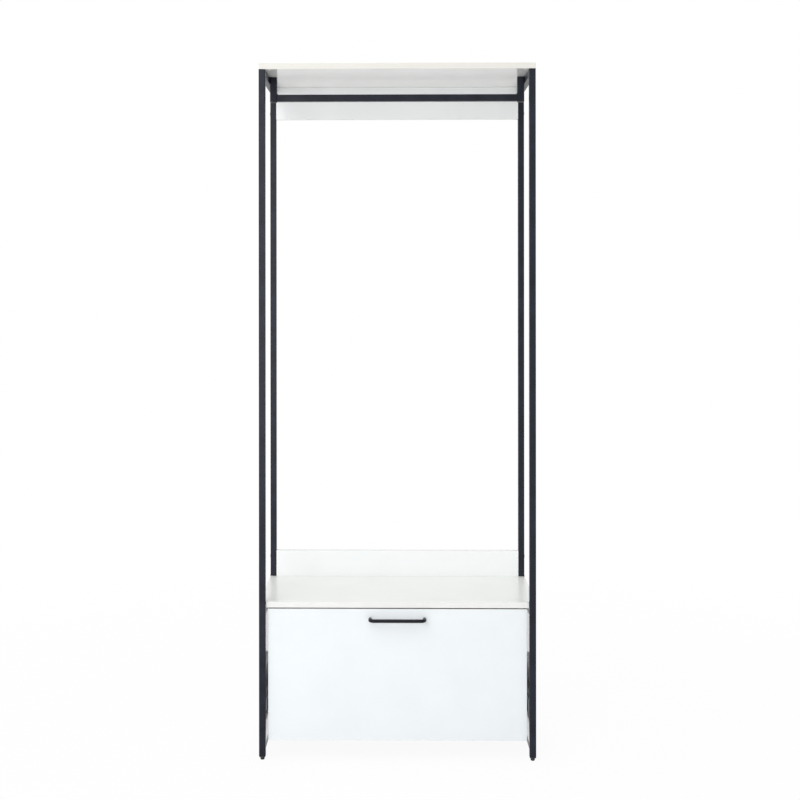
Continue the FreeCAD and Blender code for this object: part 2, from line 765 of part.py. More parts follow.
def slides():
    """Make both slides, each of three members and two cages."""
    for side, sign in (("left", 1), ("right", -1)):
        slide_member(side + "_cabinet_member", cabinet_section(), sign, SLOTS)
        slide_member(side + "_middle_member", middle_section(), sign, 0)
        slide_member(side + "_drawer_member", drawer_section(), sign, SLOTS)
        ball_cage(side + "_outer_cage", outer_cage_section(), sign)
        ball_cage(side + "_inner_cage", inner_cage_section(), sign)


def build():
    """Make every sub-part of the unit."""
    for side, sign in (("left", "-1"), ("right", "1")):
        side_frame(side, sign)
        for end, y in (("front", "front_post_y"), ("rear", "rear_post_y")):
            x = f"{sign} * post_x"
            plug(f"{side}_{end}_insert", "insert_flange", "insert_height", "stud_hole_radius", x, y,
                 "glide_height")
            glide(f"{side}_{end}_glide", x, y)
    boards()
    hanging_rail()
    drawer_front()
    drawer_box()
    handle()
    handle_screws()
    slides()
    doc.recompute()


def check_and_export():
    """Stop at a failed object or a bad shape, then write one file for each node."""
    for thing in doc.Objects:
        if "Invalid" in thing.State or "Error" in thing.State:
            raise RuntimeError(f"{thing.Name} failed: {thing.State}")
    for node in NODES:
        if node.Shape.isNull() or not node.Shape.isValid():
            raise RuntimeError(f"{node.Label} has a bad shape")
    for node in NODES:
        node.Shape.exportStep(f"parts/{node.Label}.step")
    print(len(NODES), "nodes")


build()
check_and_export()
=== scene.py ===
"""Looks of an open closet unit with a hanging rail, a bench board and one deep drawer.

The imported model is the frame: real sizes in metres, +Z up, the front faces -Y. Each piece made here takes
its place from the boxes of the frame's nodes and rides on one of its bodies.
"""

import logging
import math
from dataclasses import dataclass
from enum import Enum
from typing import Any, Iterable, Sequence

import bmesh
import bpy
from mathutils import Matrix, Vector

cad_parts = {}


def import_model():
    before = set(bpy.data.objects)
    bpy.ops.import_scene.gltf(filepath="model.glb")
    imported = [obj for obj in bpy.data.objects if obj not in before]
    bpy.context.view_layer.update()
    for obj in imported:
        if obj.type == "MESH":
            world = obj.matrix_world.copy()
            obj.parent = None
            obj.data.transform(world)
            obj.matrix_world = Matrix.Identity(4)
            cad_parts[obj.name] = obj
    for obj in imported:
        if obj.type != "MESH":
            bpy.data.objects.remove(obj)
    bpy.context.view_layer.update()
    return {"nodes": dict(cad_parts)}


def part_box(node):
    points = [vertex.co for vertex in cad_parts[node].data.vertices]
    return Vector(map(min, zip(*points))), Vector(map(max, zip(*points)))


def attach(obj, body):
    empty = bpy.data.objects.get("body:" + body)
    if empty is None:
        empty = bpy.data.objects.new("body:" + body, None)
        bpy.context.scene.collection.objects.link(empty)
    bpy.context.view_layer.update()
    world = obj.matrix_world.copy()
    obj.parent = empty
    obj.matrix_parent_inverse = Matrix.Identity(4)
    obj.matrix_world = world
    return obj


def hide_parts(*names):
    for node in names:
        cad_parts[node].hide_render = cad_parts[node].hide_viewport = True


log = logging.getLogger("closet_unit")

MM = 0.001
# each side with the sign of its x
SIDES = {"left": -1.0, "right": 1.0}
ENDS = ("front", "rear")

X, Y, Z = Vector((1, 0, 0)), Vector((0, 1, 0)), Vector((0, 0, 1))

Tree = bpy.types.NodeTree
Node = bpy.types.Node
Socket = bpy.types.NodeSocket
Thing = bpy.types.Object
Shape = bmesh.types.BMesh
Loop = list[bmesh.types.BMVert]
Profile = tuple[tuple[float, float], ...]


class Slot(Enum):
    """The record's material slots."""

    STEEL = "black_powder_coat"
    BOARD = "white_board"
    PLASTIC = "black_plastic"
    ZINC = "zinc_plated_steel"


class Kind(Enum):
    """The node types that the materials and the studio use."""

    COORDS = "ShaderNodeTexCoord"
    MAPPING = "ShaderNodeMapping"
    NOISE = "ShaderNodeTexNoise"
    WAVE = "ShaderNodeTexWave"
    SPAN = "ShaderNodeMapRange"
    MIX = "ShaderNodeMix"
    MATHS = "ShaderNodeMath"
    VECTOR_MATHS = "ShaderNodeVectorMath"
    BEVEL = "ShaderNodeBevel"
    BUMP = "ShaderNodeBump"
    LIGHT_PATH = "ShaderNodeLightPath"
    BACKGROUND = "ShaderNodeBackground"
    DIFFUSE = "ShaderNodeBsdfDiffuse"
    EMISSION = "ShaderNodeEmission"
    MIX_SHADERS = "ShaderNodeMixShader"
    WORLD_OUTPUT = "ShaderNodeOutputWorld"
    MATERIAL_OUTPUT = "ShaderNodeOutputMaterial"


def linear(colour: str) -> tuple[float, float, float, float]:
    """Turn an sRGB hex colour into linear RGBA.

    Args:
        colour: Six hex digits after a hash sign.

    Returns:
        Linear red, green and blue, and an alpha of 1.
    """
    parts = [int(colour[i:i + 2], 16) / 255 for i in (1, 3, 5)]
    red, green, blue = (p / 12.92 if p <= 0.04045 else ((p + 0.055) / 1.055) ** 2.4 for p in parts)
    return red, green, blue, 1.0


def add_node(tree: Tree, kind: Kind, settings: dict[Any, Any] | None = None,
             links: dict[Any, Socket] | None = None) -> Node:
    """Add a node to a tree.

    Args:
        tree: The node tree to add to.
        kind: The node's type.
        settings: Values of its inputs, by name or number, and of its properties, by name.
        links: The output sockets that feed its inputs, by the input's name or number.

    Returns:
        The new node.
    """
    node = tree.nodes.new(kind.value)
    for name, value in (settings or {}).items():
        if isinstance(name, int) or name in node.inputs:
            node.inputs[name].default_value = value
        else:
            setattr(node, name, value)
    for name, source in (links or {}).items():
        tree.links.new(source, node.inputs[name])
    return node


def per_grain(size: float) -> float:
    """Return the scale of a noise pattern whose grains have this size in millimetres."""
    return 1 / (size * MM)


# the numbers of a colour mix's share, first and second input and of its output
SHARE, FIRST, SECOND, RESULT = 0, 6, 7, 2
# noise stays mostly between these values
NOISE_LOW, NOISE_HIGH = 0.3, 0.7
PATCH_DETAIL = 3.0
SHEEN_DETAIL = 2.0
BEVEL_SAMPLES = 4
# a wave pattern of scale 1 repeats every tau / 20
WAVE_LENGTH = math.tau / 20


@dataclass(frozen=True)
class Finish:
    """One finish: a real material and how its surface was made. Sizes are in millimetres.

    It makes the shader with its uniform values, lays a second tone over it in soft patches, makes its sheen
    uneven and gives it a relief of soft grains. The kinds of finish below set the grains' size and depth.
    """

    name: str
    colour: str
    second: str
    roughness: float
    metallic: float = 0.0
    ior: float = 1.5
    specular: float = 0.5
    patch: float = 60.0
    patch_share: float = 0.6
    sheen_grain: float = 8.0
    sheen_span: float = 0.04
    drawn_out: tuple[float, float, float] = (1.0, 1.0, 1.0)
    grain: float = 2.0
    grain_detail: float = 1.0
    depth: float = 0.01
    soft_edge: float = 0.0

    def material(self) -> bpy.types.Material:
        """Make this finish's material at its first use.

        Returns:
            The material, which is the same one at every later use.
        """
        found = bpy.data.materials.get(self.name)
        if found:
            return found
        made = bpy.data.materials.new(self.name)
        made.use_nodes = True
        tree = made.node_tree
        shader = tree.nodes["Principled BSDF"]
        uniform = {"Roughness": self.roughness, "Metallic": self.metallic,
                   "Specular IOR Level": self.specular}
        if not self.metallic:
            uniform["IOR"] = self.ior
        for name, value in uniform.items():
            shader.inputs[name].default_value = value
        coords = add_node(tree, Kind.COORDS)
        place = add_node(tree, Kind.MAPPING, {"Scale": self.drawn_out}, {"Vector": coords.outputs["Object"]})
        self.lay_tones(tree, shader, place.outputs["Vector"])
        self.lay_relief(tree, shader, place.outputs["Vector"])
        return made

    def lay_tones(self, tree: Tree, shader: Node, place: Socket) -> None:
        """Lay the second tone in patches and make the sheen uneven.

        Args:
            tree: The material's node tree.
            shader: Its principled shader.
            place: The object coordinates, in metres.
        """
        patches = add_node(tree, Kind.NOISE, {"Scale": per_grain(self.patch), "Detail": PATCH_DETAIL},
                           {"Vector": place})
        share = add_node(tree, Kind.SPAN, {"From Min": NOISE_LOW, "From Max": NOISE_HIGH,
                                           "To Max": self.patch_share}, {"Value": patches.outputs["Fac"]})
        tone = add_node(tree, Kind.MIX, {"data_type": "RGBA", FIRST: linear(self.colour),
                                         SECOND: linear(self.second)}, {SHARE: share.outputs["Result"]})
        tree.links.new(tone.outputs[RESULT], shader.inputs["Base Color"])
        grain = add_node(tree, Kind.NOISE, {"Scale": per_grain(self.sheen_grain), "Detail": SHEEN_DETAIL},
                         {"Vector": place})
        sheen = add_node(tree, Kind.SPAN, {"From Min": NOISE_LOW, "From Max": NOISE_HIGH,
                                           "To Min": self.roughness - self.sheen_span,
                                           "To Max": self.roughness + self.sheen_span},
                         {"Value": grain.outputs["Fac"]})
        tree.links.new(sheen.outputs["Result"], shader.inputs["Roughness"])

    def heights(self, tree: Tree, place: Socket) -> Socket:
        """Add the relief's pattern, here soft grains.

        Args:
            tree: The material's node tree.
            place: The object coordinates, in metres.

        Returns:
            The socket of the pattern's heights.
        """
        grains = add_node(tree, Kind.NOISE, {"Scale": per_grain(self.grain), "Detail": self.grain_detail},
                          {"Vector": place})
        return grains.outputs["Fac"]

    def lay_relief(self, tree: Tree, shader: Node, place: Socket) -> None:
        """Add the relief, and round the edges of a finish that softens them.

        Args:
            tree: The material's node tree.
            shader: Its principled shader.
            place: The object coordinates, in metres.
        """
        links = {"Height": self.heights(tree, place)}
        if self.soft_edge:
            edges = add_node(tree, Kind.BEVEL, {"Radius": self.soft_edge * MM, "samples": BEVEL_SAMPLES})
            links["Normal"] = edges.outputs["Normal"]
        relief = add_node(tree, Kind.BUMP, {"Distance": self.depth * MM}, links)
        tree.links.new(relief.outputs["Normal"], shader.inputs["Normal"])


@dataclass(frozen=True)
class PowderCoat(Finish):
    """Mild steel with an epoxy-polyester powder coat, sprayed and baked.

    Gives the eye a deep charcoal with a blue cast, a satin sheen, rounded edges and the melt's orange peel.
    """

    # orange peel is 1 to 2 mm across; on the frame it is drawn a little coarser, so that it shows at all
    grain: float = 2.5
    depth: float = 0.03
    soft_edge: float = 0.4


@dataclass(frozen=True)
class MelamineBoard(Finish):
    """Particle board faced with melamine-soaked paper, hot pressed on an embossed plate.

    Gives the eye an even white with a faint pearl relief. Some of its whites are painted a little lighter or
    darker to stand in for light and shade, and a dark brown one under the bench is painted shade. A smoother
    plate makes sharper reflections.
    """

    # the real pearls are about 0.5 mm; drawn three times as coarse, to show in a close view
    grain: float = 1.6
    grain_detail: float = 2.0
    depth: float = 0.012


@dataclass(frozen=True)
class EdgeBand(Finish):
    """Extruded ABS edge band, glued on and scraped round.

    Gives the eye a slightly warmer, smoother strip than the board's faces, with the scraper's chatter marks.
    """

    # scraper chatter is under 1 mm apart; drawn at 3 mm, to show in a close view
    grain: float = 3.0
    depth: float = 0.008


@dataclass(frozen=True)
class Hardboard(Finish):
    """Hardboard, wet-pressed from wood fibre, left raw on its screen side.

    Gives the eye a brown felt of fibres with the weave of the press screen.
    """

    screen: float = 1.8
    depth: float = 0.15

    def heights(self, tree: Tree, place: Socket) -> Socket:
        """Add the press screen's weave, drawn out with the fibres.

        Args:
            tree: The material's node tree.
            place: The object coordinates, in metres.

        Returns:
            The socket of the weave's heights.
        """
        scale = WAVE_LENGTH / (self.screen * MM)
        across, along = (add_node(tree, Kind.WAVE, {"bands_direction": axis, "Scale": scale},
                                  {"Vector": place}) for axis in ("X", "Y"))
        weave = add_node(tree, Kind.MATHS, {"operation": "MULTIPLY"},
                         {0: across.outputs["Fac"], 1: along.outputs["Fac"]})
        return weave.outputs["Value"]


@dataclass(frozen=True)
class PlatedSteel(Finish):
    """Cold-worked steel, electroplated with zinc and passivated.

    Gives the eye a grey or black metal with soft edges and cloudy patches. Rolled steel has fine streaks.
    """

    # rolling marks are some hundredths of a millimetre wide; ROLLED makes them 0.7 mm, so that they show
    grain: float = 4.0
    grain_detail: float = 3.0
    depth: float = 0.01
    soft_edge: float = 0.25


@dataclass(frozen=True)
class PolishedSteel(Finish):
    """Hardened bearing steel, ground and polished.

    Gives the eye small bright balls with a thin, wavy smear of grease.
    """

    grain: float = 2.0
    depth: float = 0.006


@dataclass(frozen=True)
class MouldedPlastic(Finish):
    """Polypropylene, injection moulded in a spark-eroded tool.

    Gives the eye a waxy, slightly dull skin with a fine even grain.
    """

    # spark-eroded grain is about 0.2 mm; drawn at 0.8 mm, to show in a close view
    grain: float = 0.8
    depth: float = 0.02


# how many times finer a pattern is along x, y and z: steel is rolled along y, fibres lie along x
ROLLED = (6.0, 0.25, 6.0)
FIBRES = (1.0, 3.0, 1.0)

POWDER_COAT = PowderCoat("steel_powder_coat_satin", "#121521", "#1e2230", 0.34, specular=0.26, patch=45.0,
                         patch_share=1.0, sheen_grain=12.0, sheen_span=0.05)
HANDLE_COAT = PowderCoat("steel_powder_coat_fine", "#0d0e14", "#14161c", 0.34, specular=0.22, patch=45.0,
                         patch_share=1.0, grain=1.5, depth=0.012)
FRONT_MELAMINE = MelamineBoard("melamine_pressed_cool_white", "#f3f8fb", "#eff3f6", 0.4, patch=120.0)
# between 0.2 and 0.28 a board's roughness renders grainy, so each stays on one side of that
BOARD_MELAMINE = MelamineBoard("melamine_pressed_white", "#f6f8f4", "#f2f4f0", 0.3, patch=120.0,
                               sheen_span=0.01, depth=0.001)
# partly its own cooler tint, partly painted light: a brighter white than the other boards, so the back
# panels look more lit
PANEL_LIT_MELAMINE = MelamineBoard("melamine_cool_white_painted_light", "#fbfdfe", "#f8fafb", 0.32, patch=120.0)
# painted shade: a greyer white than the boards' top faces, darkened for the shade under the top board; the
# side panels share it, and its smoothness is real
GLOSS_SHADED_MELAMINE = MelamineBoard("melamine_smooth_white_painted_shade", "#efeeed", "#ebeae9", 0.08, patch=120.0,
                               sheen_span=0.01, depth=0.0006)
BOX_MELAMINE = MelamineBoard("melamine_pressed_box_white", "#f6f6f3", "#f0f0ec", 0.4, patch=120.0)
# painted shade: a dark brown sheet on the bench's underside, which darkens the gap over the drawer
SHADE_UNDER_BENCH = MelamineBoard("painted_shade_bench_underside", "#6b5c4c", "#5d5043", 0.5, patch=40.0,
                              patch_share=1.0)
# a warmer edge band, and also darker than the pale one: painted shade that takes back the extra lamp light
# on the top board's front edge
WARM_SHADED_EDGE = EdgeBand("abs_edge_band_warm_white_painted_shade", "#e9e7e1", "#e6e4dd", 0.36, patch=30.0, patch_share=0.7)
PALE_EDGE = EdgeBand("abs_edge_band_white", "#f3f4f2", "#eeefec", 0.36, patch=30.0, patch_share=0.7)
HARDBOARD = Hardboard("hardboard_pressed_raw", "#93704c", "#7a5a3c", 0.8, patch=4.0, patch_share=1.0,
                      drawn_out=FIBRES)
ZINC = PlatedSteel("steel_rolled_zinc_plated", "#aeb3b9", "#b9b39c", 0.36, 1.0, patch=25.0, patch_share=0.45,
                   sheen_grain=4.0, sheen_span=0.08, drawn_out=ROLLED)
BLACK_SCREW = PlatedSteel("steel_headed_black_zinc", "#2a2b2f", "#55565a", 0.36, 0.9, patch=3.0,
                          sheen_grain=1.5, sheen_span=0.07, grain=1.5)
BALL_STEEL = PolishedSteel("bearing_steel_polished", "#c6c8cb", "#bcbfc3", 0.14, 1.0, patch=2.0,
                           sheen_grain=2.0, sheen_span=0.08)
BLACK_PLASTIC = MouldedPlastic("polypropylene_moulded_black", "#141518", "#26272a", 0.46, patch=9.0,
                               patch_share=1.0, sheen_grain=0.8, sheen_span=0.05)
WHITE_PLASTIC = MouldedPlastic("polypropylene_moulded_white", "#e9e9e6", "#e2e2de", 0.4, patch=9.0,
                               patch_share=1.0, sheen_grain=0.8, sheen_span=0.05)

# half the angle of a cross's arm at its tip; the corners fall on ring points at this angle
CROSS_TIP = math.tau / 24
# the radius of a square's corner, as a share of the way from its middle to its flats
CORNER_SHARE = 0.2
TINY_ANGLE = 1e-6


class Outline(Enum):
    """The shape of one ring of a formed piece: its name and its number of flats or arms, if any."""

    ROUND = ("round", 0)
    HEXAGON = ("hexagon", 6)
    CROSS = ("cross", 4)
    SQUARE = ("square", 4)

    def reach(self, angle: float) -> float:
        """Return how far the outline lies from its middle at an angle.

        Args:
            angle: The direction, in radians.

        Returns:
            The distance, where its flats or tips lie at 1.
        """
        flats = self.value[1]
        if not flats:
            return 1.0
        part = math.tau / flats
        off = abs((angle + part / 2) % part - part / 2)
        if self is Outline.CROSS and off > CROSS_TIP + TINY_ANGLE:
            return math.tan(CROSS_TIP) / math.sin(off)
        straight = 1 - CORNER_SHARE
        if self is Outline.SQUARE and math.tan(off) > straight:
            along = straight * (math.cos(off) + math.sin(off))
            return along + math.sqrt(CORNER_SHARE ** 2 - 2 * straight ** 2 + along ** 2)
        return 1 / math.cos(off)


@dataclass(frozen=True)
class Ring:
    """One ring of a formed piece: its height and size in millimetres, and its outline."""

    height: float
    size: float
    outline: Outline = Outline.ROUND

    def reach(self, angle: float) -> float:
        """Return how far the ring lies from the axis at an angle in radians, in millimetres."""
        return self.size * self.outline.reach(angle)


@dataclass(frozen=True, kw_only=True)
class ThreadRing(Ring):
    """One ring of a screw thread, with the thread's pitch and depth in millimetres."""

    pitch: float
    depth: float

    def reach(self, angle: float) -> float:
        """Return how far the thread lies from the axis at an angle in radians, in millimetres."""
        phase = (self.height / self.pitch - angle / math.tau) % 1.0
        return self.size - self.depth * abs(2 * phase - 1)


RING_POINTS = 48
SHARP_ANGLE = math.radians(32)
# in square metres
BROAD_FACE = 1e-4


def add_loop(shape: Shape, points: Iterable[tuple[float, float, float]]) -> Loop:
    """Add points, given in millimetres, to a shape.

    Args:
        shape: The shape that grows.
        points: The points of a loop in order.

    Returns:
        The loop's vertices.
    """
    return [shape.verts.new((x * MM, y * MM, z * MM)) for x, y, z in points]


def skin(shape: Shape, loops: Sequence[Loop], closed: bool = False) -> None:
    """Join loops with faces, one after the other.

    Args:
        shape: The shape that holds the loops.
        loops: The loops in order, with equal counts of points.
        closed: Whether the last loop joins the first; otherwise both are capped.
    """
    following = [*loops[1:], loops[0]] if closed else loops[1:]
    for low, high in zip(loops, following):
        for index in range(len(low)):
            after = (index + 1) % len(low)
            shape.faces.new((low[index], low[after], high[after], high[index]))
    if not closed:
        shape.faces.new(loops[0][::-1])
        shape.faces.new(loops[-1])
    bmesh.ops.recalc_face_normals(shape, faces=shape.faces)


def form_rings(rings: Iterable[Ring], closed: bool = False) -> Shape:
    """Form a piece from rings about +Z, as a lathe or a header would.

    Args:
        rings: The rings in order.
        closed: Whether the last ring joins the first, as on a piece with a hole through it.

    Returns:
        The piece, in metres, about the origin.
    """
    shape = bmesh.new()
    loops = []
    for ring in rings:
        points = []
        for step in range(RING_POINTS):
            angle = math.tau * step / RING_POINTS
            reach = ring.reach(angle)
            points.append((reach * math.cos(angle), reach * math.sin(angle), ring.height))
        loops.append(add_loop(shape, points))
    skin(shape, loops, closed)
    return shape


def square_rings(profile: Profile) -> list[Ring]:
    """Return square rings for a profile of heights and half widths, in millimetres."""
    return [Ring(height, half, Outline.SQUARE) for height, half in profile]


def facing(spot: Vector, direction: Vector) -> Matrix:
    """Return the matrix that puts a piece at a spot with its +Z along a direction."""
    return Matrix.Translation(spot) @ direction.to_track_quat("Z", "Y").to_matrix().to_4x4()


def middle(node: str) -> Vector:
    """Return the middle of a node's box."""
    low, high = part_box(node)
    return (low + high) / 2


def flanks(node: str, sign: float) -> tuple[float, float]:
    """Return where a node on one side of the unit begins and ends.

    Args:
        node: The node's name.
        sign: -1 on the left, 1 on the right.

    Returns:
        The x of its inner flank, towards the unit's middle, and of its outer flank.
    """
    low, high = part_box(node)
    return (low.x, high.x) if sign > 0 else (high.x, low.x)


def stamp(shape: Shape, pattern: Shape, place: Matrix) -> None:
    """Add a copy of a pattern to a shape.

    Args:
        shape: The shape that grows.
        pattern: The shape that is copied; it stays as it is.
        place: The matrix of the copy.
    """
    copy = bpy.data.meshes.new("copy")
    pattern.to_mesh(copy)
    copy.transform(place)
    if place.determinant() < 0:
        copy.flip_normals()
    shape.from_mesh(copy)
    bpy.data.meshes.remove(copy)


def stamp_group(pattern: Shape, places: Iterable[Matrix]) -> Shape:
    """Make a shape of copies of one pattern.

    Args:
        pattern: The shape that is copied; it is freed here.
        places: The matrix of each copy.

    Returns:
        The copies as one shape.
    """
    group = bmesh.new()
    for place in places:
        stamp(group, pattern, place)
    pattern.free()
    return group


def make_piece(name: str, shape: Shape, finishes: Sequence[Finish], body: str,
               replaces: Iterable[str] = ()) -> None:
    """Turn a shape into a piece that rides on a body.

    Args:
        name: The piece's name.
        shape: Its shape in the unit's coordinates; it is freed here.
        finishes: Its finishes, in the order of its faces' material numbers.
        body: The body that it rides on.
        replaces: The nodes that it stands for.
    """
    for face in shape.faces:
        # a broad face keeps its own normal, or the round edges beside it would bend its reflections
        face.smooth = face.calc_area() < BROAD_FACE
    for edge in shape.edges:
        edge.smooth = not edge.is_manifold or edge.calc_face_angle(0.0) < SHARP_ANGLE
    mesh = bpy.data.meshes.new(name)
    shape.to_mesh(mesh)
    shape.free()
    for finish in finishes:
        mesh.materials.append(finish.material())
    piece = bpy.data.objects.new(name, mesh)
    bpy.context.scene.collection.objects.link(piece)
    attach(piece, body)
    if replaces:
        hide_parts(*replaces)
    log.info("%s rides on %s, %d faces", name, body, len(mesh.polygons))


def dress_nodes(nodes: dict[str, Thing], names: Iterable[str], finish: Finish) -> None:
    """Give nodes of the frame a finish.

    Args:
        nodes: The frame's objects by name.
        names: The nodes to dress.
        finish: Their finish.
    """
    for name in names:
        slots = nodes[name].data.materials
        slots.clear()
        slots.append(finish.material())
        log.info("%s is dressed in %s", name, finish.name)


@dataclass(frozen=True)
class ScrewHead:
    """A screw head with the recess that drives it. Sizes are in millimetres.

    The shares are of the recess's size, but dome is the share of the height that is domed.
    """

    radius: float
    height: float
    recess: float
    recess_depth: float
    drive: Outline
    dome: float
    sink: float = 0.2
    rim_share: float = 1.25
    lip: float = 0.2
    lip_share: float = 0.94
    floor_share: float = 0.86
    dome_steps: int = 4

    def shape(self) -> Shape:
        """Form the head from its sunk underside to the floor of its recess.

        Returns:
            The head, in metres, about the origin; it stands up from the surface at height 0.
        """
        crown = self.height * self.dome
        shoulder = self.height - crown
        rim = self.recess * self.rim_share
        rings = [Ring(-self.sink, self.radius), Ring(shoulder, self.radius)]
        for step in range(1, self.dome_steps + 1):
            turn = math.pi / 2 * step / self.dome_steps
            rings.append(Ring(shoulder + crown * math.sin(turn), rim + (self.radius - rim) * math.cos(turn)))
        rings += [Ring(self.height, self.recess, self.drive),
                  Ring(self.height - self.lip, self.recess * self.lip_share, self.drive),
                  Ring(self.height - self.recess_depth, self.recess * self.floor_share, self.drive)]
        return form_rings(rings)


CONNECTOR_BOLT = ScrewHead(6.0, 1.3, recess=2.0, recess_depth=1.1, drive=Outline.HEXAGON, dome=0.7)
PAN_SCREW = ScrewHead(4.0, 2.6, recess=2.2, recess_depth=1.6, drive=Outline.CROSS, dome=0.8)
BOX_SCREW = ScrewHead(3.5, 0.35, recess=1.9, recess_depth=0.9, drive=Outline.HEXAGON, dome=0.6)
# it lies in a slot of a member's 1.2 mm strip and stands 0.05 mm over it
SLIDE_SCREW = ScrewHead(3.4, 1.25, recess=1.9, recess_depth=0.9, drive=Outline.CROSS, dome=0.15)


def screw_group(name: str, head: ScrewHead, spots: Iterable[tuple[Vector, Vector]], finish: Finish,
                body: str) -> None:
    """Make a group of equal screw heads as one piece.

    Args:
        name: The group's name.
        head: The head's form.
        spots: For each screw, the point on the surface and the direction that its head faces.
        finish: The screws' finish.
        body: The body that they ride on.
    """
    group = stamp_group(head.shape(), [facing(spot, direction) for spot, direction in spots])
    make_piece(name, group, [finish], body)


@dataclass
class SubAssembly:
    """A group of pieces that are made and dressed together."""

    nodes: dict[str, Thing]

    def build(self) -> None:
        """Make and dress the pieces."""
        raise NotImplementedError


@dataclass
class SteelFrame(SubAssembly):
    """The two welded side frames and the hanging rail. Sizes are in millimetres.

    At each end, over one part in end_taper of its width, a bead shrinks to end_share of its size.
    """

    bead_leg: float = 3.0
    rail_bead_leg: float = 5.0
    bead_sink: float = 0.25
    bead_width: float = 17.0
    bead_steps: int = 56
    end_share: float = 0.55
    end_taper: float = 6.0
    ripple: float = 1.3
    ripple_depth: float = 0.16
    hollow: float = 0.18
    hollow_power: float = 1.6
    hollow_steps: int = 6
    bolt_spread: float = 34.0
    board_screw_inset: float = 70.0

    def build(self) -> None:
        """Dress the tubes, then add the weld beads, the bolts and the screws."""
        parts = ("front_post", "rear_post", "top_rail", "bench_rail", "bottom_rail", "rail_drop")
        tubes = [f"{side}_{part}" for side in SIDES for part in parts]
        dress_nodes(self.nodes, tubes + ["hanging_rail"], POWDER_COAT)
        self.weld_beads()
        self.panel_bolts()
        self.board_screws()

    def bead(self, leg: float) -> Shape:
        """Form a rippled weld bead along +X that fills the corner between +Y and +Z.

        Args:
            leg: How far the bead reaches along each face.

        Returns:
            The bead, in metres, with the corner at the origin.
        """
        shape = bmesh.new()
        loops = []
        for step in range(self.bead_steps + 1):
            share = step / self.bead_steps
            along = (share - 0.5) * self.bead_width
            # the ends taper in, and each ripple is the edge of one frozen pool
            end = math.sqrt(min(1.0, self.end_taper * share, self.end_taper * (1 - share)))
            wave = self.ripple_depth * abs(math.sin(math.pi * along / self.ripple))
            size = leg * (self.end_share + (1 - self.end_share) * end) - wave
            points = [(-self.bead_sink, -self.bead_sink), (size, -self.bead_sink)]
            for turn in range(self.hollow_steps + 1):
                angle = math.pi / 2 * turn / self.hollow_steps
                # a shallow hollow between the two toes
                away = size * (1 - self.hollow * math.sin(2 * angle))
                points.append((away * math.cos(angle) ** self.hollow_power,
                               away * math.sin(angle) ** self.hollow_power))
            points.append((-self.bead_sink, size))
            loops.append(add_loop(shape, [(along, y, z) for y, z in points]))
        skin(shape, loops)
        return shape

    def weld_beads(self) -> None:
        """Put the beads of the frames and the hanging rail.

        They lie under the top and bottom rails at the posts, outside each drop under its top rail, and over
        each end of the hanging rail.
        """
        small, large = self.bead(self.bead_leg), self.bead(self.rail_bead_leg)
        rail_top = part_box("hanging_rail")[1].z
        group = bmesh.new()
        for side, sign in SIDES.items():
            for rail in ("top_rail", "bottom_rail"):
                low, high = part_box(f"{side}_{rail}")
                for y, away in ((low.y, Y), (high.y, -Y)):
                    self.put_bead(group, small, Vector((middle(f"{side}_{rail}").x, y, low.z)), X, away, -Z)
            inner, outer = flanks(f"{side}_rail_drop", sign)
            depth = middle(f"{side}_rail_drop").y
            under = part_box(f"{side}_top_rail")[0].z
            self.put_bead(group, small, Vector((outer, depth, under)), Y, X * sign, -Z)
            self.put_bead(group, large, Vector((inner, depth, rail_top)), Y, X * -sign, Z)
        small.free()
        large.free()
        make_piece("weld_beads", group, [POWDER_COAT], "frame")

    def put_bead(self, group: Shape, bead: Shape, corner: Vector, along: Vector, first: Vector,
                 second: Vector) -> None:
        """Stamp a bead into a corner.

        Args:
            group: The shape that grows.
            bead: The bead's pattern.
            corner: The middle of the corner line.
            along: The direction of that line.
            first: The direction of one face, away from the corner.
            second: The direction of the other face.
        """
        turn = Matrix((along, first, second)).transposed().to_4x4()
        stamp(group, bead, Matrix.Translation(corner) @ turn)

    def panel_bolts(self) -> None:
        """Put the bolts of the back panels and the drops into the outer faces of the side frames."""
        spots = []
        for side, sign in SIDES.items():
            _, outer = flanks(f"{side}_rear_post", sign)
            depth = middle(f"{side}_rear_post").y
            for panel in ("upper_back_panel", "lower_back_panel", "bottom_back_panel"):
                for offset in (-self.bolt_spread, self.bolt_spread):
                    spots.append((Vector((outer, depth, middle(panel).z + offset * MM)), X * sign))
            # the drop hangs on a bolt through the top rail
            drop, rail = middle(f"{side}_rail_drop"), middle(f"{side}_top_rail")
            spots.append((Vector((outer, drop.y, rail.z)), X * sign))
        screw_group("frame_bolts", CONNECTOR_BOLT, spots, BLACK_SCREW, "frame")

    def board_screws(self) -> None:
        """Put the screws that hold the top board and the side panels under the rails."""
        spots = []
        for side in SIDES:
            for rail in ("top_rail", "bottom_rail"):
                low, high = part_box(f"{side}_{rail}")
                for y in (low.y + self.board_screw_inset * MM, high.y - self.board_screw_inset * MM):
                    spots.append((Vector((middle(f"{side}_{rail}").x, y, low.z)), -Z))
        screw_group("rail_screws", PAN_SCREW, spots, BLACK_SCREW, "frame")


@dataclass(frozen=True)
class BoardSpec:
    """How one board is dressed: its body, and the finishes of its faces, edges and underside."""

    node: str
    face: Finish
    edge: Finish
    body: str = "frame"
    underside: Finish | None = None


